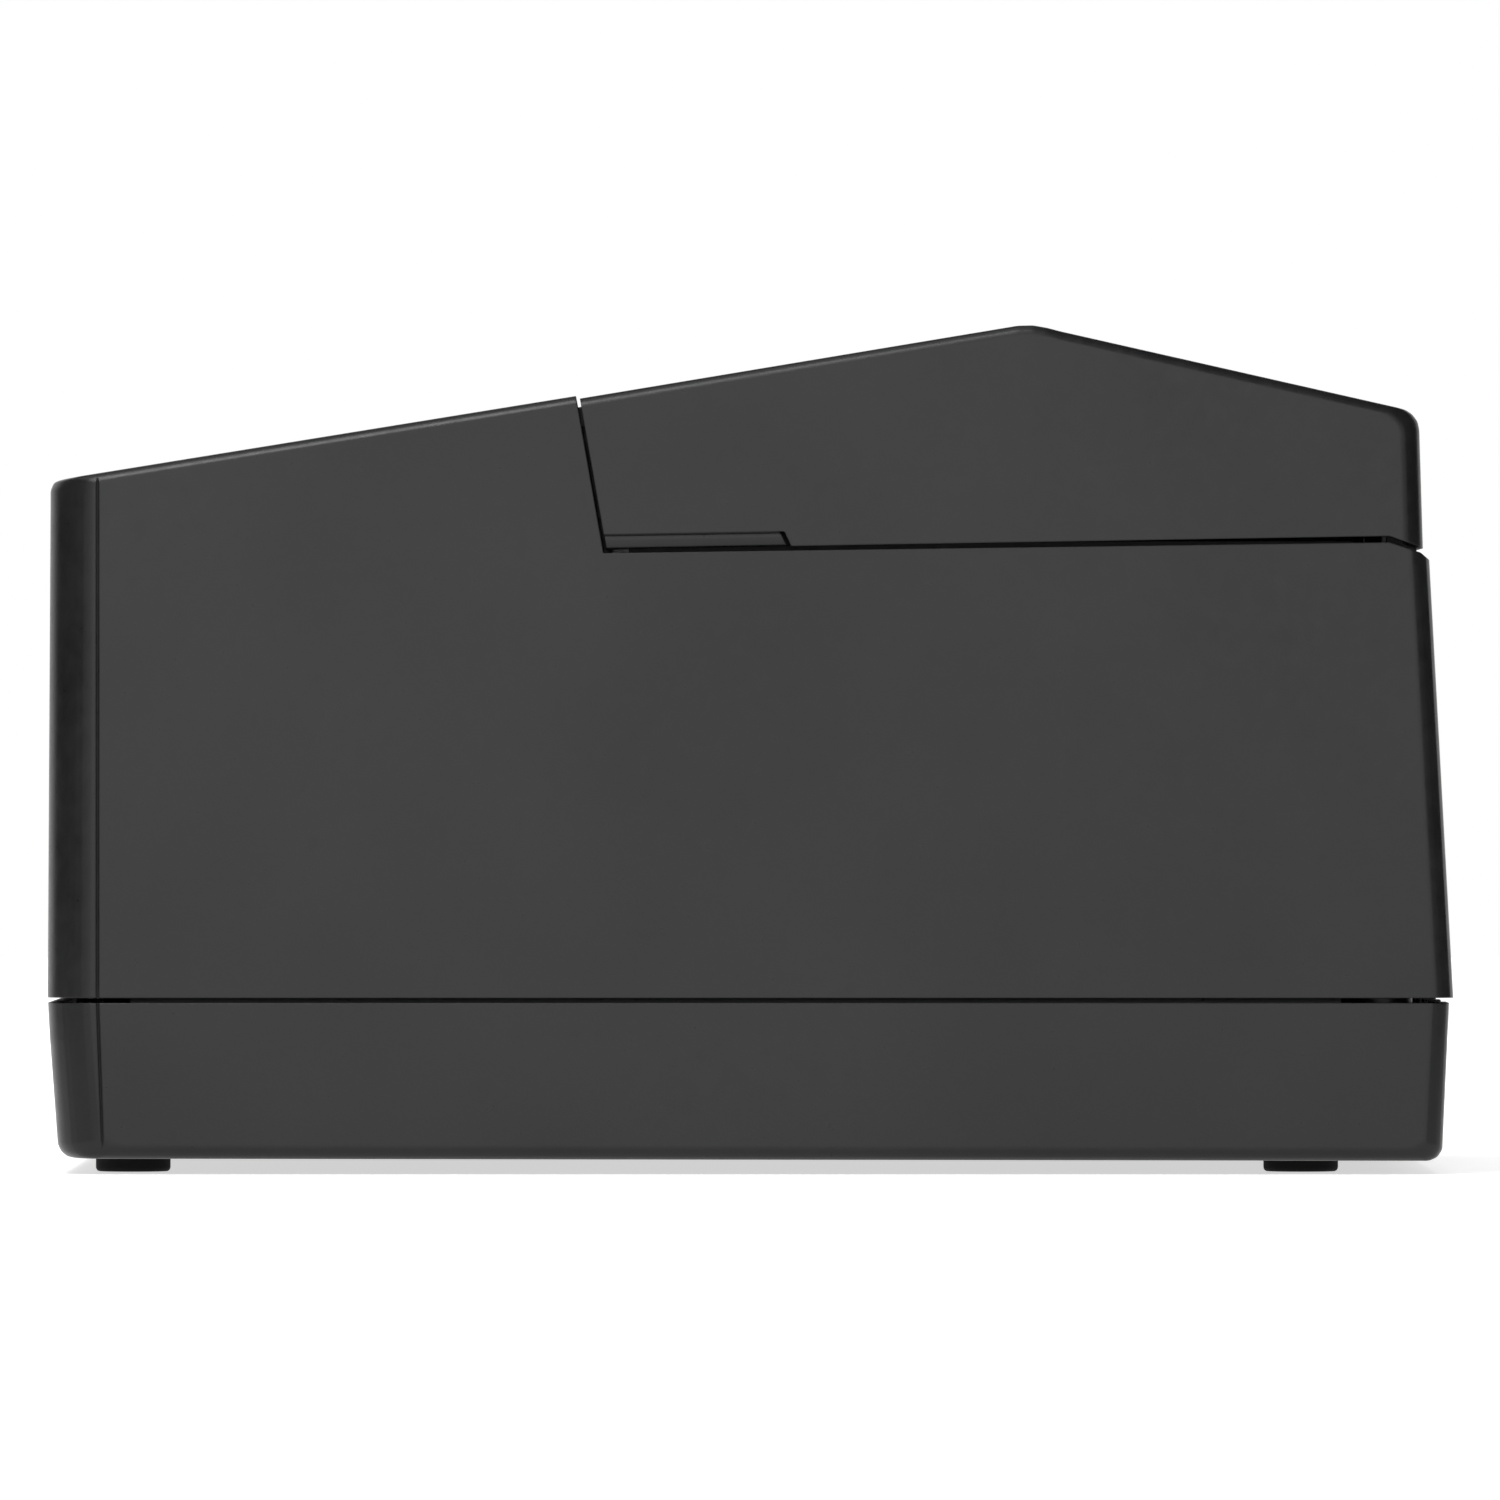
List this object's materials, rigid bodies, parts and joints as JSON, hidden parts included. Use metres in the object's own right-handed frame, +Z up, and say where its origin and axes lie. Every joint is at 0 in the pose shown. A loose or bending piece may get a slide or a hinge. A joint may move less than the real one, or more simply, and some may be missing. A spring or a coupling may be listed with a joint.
{
  "type": "receipt printer",
  "caption": "Desktop thermal receipt printer with a sloping front, a rear-hinged roof-shaped lid over the paper roll, an auto-cutter and rear sockets.",
  "frame": {"origin": "centre of the bounding box's bottom face, where the feet stand", "axes": "+Z up, -Y towards the front where the receipt comes out, +X to the printer's left seen from the front, along the lid's hinge line"},
  "size_m": [0.145, 0.195, 0.1175],
  "materials": {
    "shell": "fine moulded texture",
    "inner_plastic": "satin",
    "button_plastic": "satin",
    "acetal": "smooth",
    "clear_pipe": "frosted",
    "steel": "zinc plated",
    "blade_steel": "ground",
    "aluminium": "mill finish",
    "ceramic": "glazed",
    "roller_rubber": "ground",
    "foot_rubber": "matt",
    "motor_steel": "plated can",
    "circuit_board": "solder mask",
    "component_plastic": "moulded",
    "socket_metal": "tin plated",
    "cable_film": "film"
  },
  "bodies": {
    "case": {"bottom_case": "shell", "upper_case": "shell", "front_cover": "shell", "inner_frame": "inner_plastic", "hinge_pins": "steel", "mechanism_frame": "steel", "side_plates": "steel", "head_pivot": "steel", "head_springs": "steel", "feed_motor": "motor_steel", "idler_stud": "steel", "cutter_motor": "motor_steel", "cutter_plate": "steel", "tear_bar": "blade_steel", "light_pipes": "clear_pipe", "panel_board": "circuit_board", "panel_parts": "component_plastic", "main_board": "circuit_board", "board_parts": "component_plastic", "power_inlet": "component_plastic", "drawer_socket": "component_plastic", "network_socket": "socket_metal", "usb_socket": "socket_metal", "switch_body": "component_plastic", "paper_sensor": "component_plastic", "roll_sensor": "component_plastic", "head_cable": "cable_film", "rubber_feet": "foot_rubber", "case_screws": "steel", "frame_screws": "steel", "mechanism_screws": "steel"},
    "lid": {"lid": "shell", "platen_holder": "inner_plastic", "holder_screws": "steel", "fixed_blade": "blade_steel", "platen_bushes": "acetal"},
    "platen": {"platen_roller": "roller_rubber", "platen_shaft": "steel", "platen_gear": "acetal"},
    "idler": {"idler_gear": "acetal"},
    "feed_motor_rotor": {"feed_pinion": "steel"},
    "cutter": {"cutter_blade": "blade_steel", "blade_carrier": "inner_plastic"},
    "cutter_drive": {"cutter_shaft": "steel", "rack_pinions": "acetal", "cutter_gear": "acetal"},
    "cutter_motor_rotor": {"cutter_pinion": "steel"},
    "print_head": {"head_plate": "aluminium", "thermal_head": "ceramic"},
    "rocker": {"power_rocker": "button_plastic"},
    "button": {"feed_button": "button_plastic"}
  },
  "joints": [
    {"name": "lid_hinge", "type": "hinge", "parent": "case", "child": "lid", "pos_m": [0, 0.0912, 0.083], "axis": [-1, 0, 0], "range_deg": [0, 90]},
    {"name": "platen_spin", "type": "hinge", "parent": "lid", "child": "platen", "pos_m": [0, -0.01903, 0.09451], "axis": [1, 0, 0], "continuous": true},
    {"name": "idler_spin", "type": "hinge", "parent": "case", "child": "idler", "pos_m": [0.054, -0.02828, 0.08348], "axis": [1, 0, 0], "continuous": true},
    {"name": "feed_motor_spin", "type": "hinge", "parent": "case", "child": "feed_motor_rotor", "pos_m": [0.054, -0.04069, 0.08129], "axis": [1, 0, 0], "continuous": true},
    {"name": "cutter_slide", "type": "slide", "parent": "case", "child": "cutter", "axis": [0, 0.9848, 0.1736], "range_m": [0, 0.0095]},
    {"name": "cutter_shaft_turn", "type": "hinge", "parent": "case", "child": "cutter_drive", "pos_m": [0, -0.05698, 0.08802], "axis": [1, 0, 0], "range_deg": [-137, 0.5]},
    {"name": "cutter_motor_turn", "type": "hinge", "parent": "case", "child": "cutter_motor_rotor", "pos_m": [-0.055, -0.06141, 0.07851], "axis": [1, 0, 0], "range_deg": [-1, 341]},
    {"name": "head_tilt", "type": "hinge", "parent": "case", "child": "print_head", "pos_m": [0, -0.02445, 0.0763], "axis": [1, 0, 0], "range_deg": [0, 3], "stiffness_Nm_per_rad": 2, "deforming": ["head_springs", "head_cable"]},
    {"name": "rocker_tilt", "type": "hinge", "parent": "case", "child": "rocker", "pos_m": [0.0435, 0.0924, 0.0163], "axis": [0, 0, 1], "range_deg": [0, 16]},
    {"name": "feed_button_press", "type": "slide", "parent": "case", "child": "button", "axis": [0, 0.1597, -0.9872], "range_m": [0, 0.0005], "stiffness_N_per_m": 500}
  ],
  "couplings": [
    {"joint": "idler_spin", "follows": "platen_spin", "ratio": -0.6},
    {"joint": "feed_motor_spin", "follows": "platen_spin", "ratio": 1.5},
    {"joint": "cutter_shaft_turn", "follows": "cutter_slide", "rad_per_m": -250},
    {"joint": "cutter_motor_turn", "follows": "cutter_slide", "rad_per_m": 625}
  ]
}
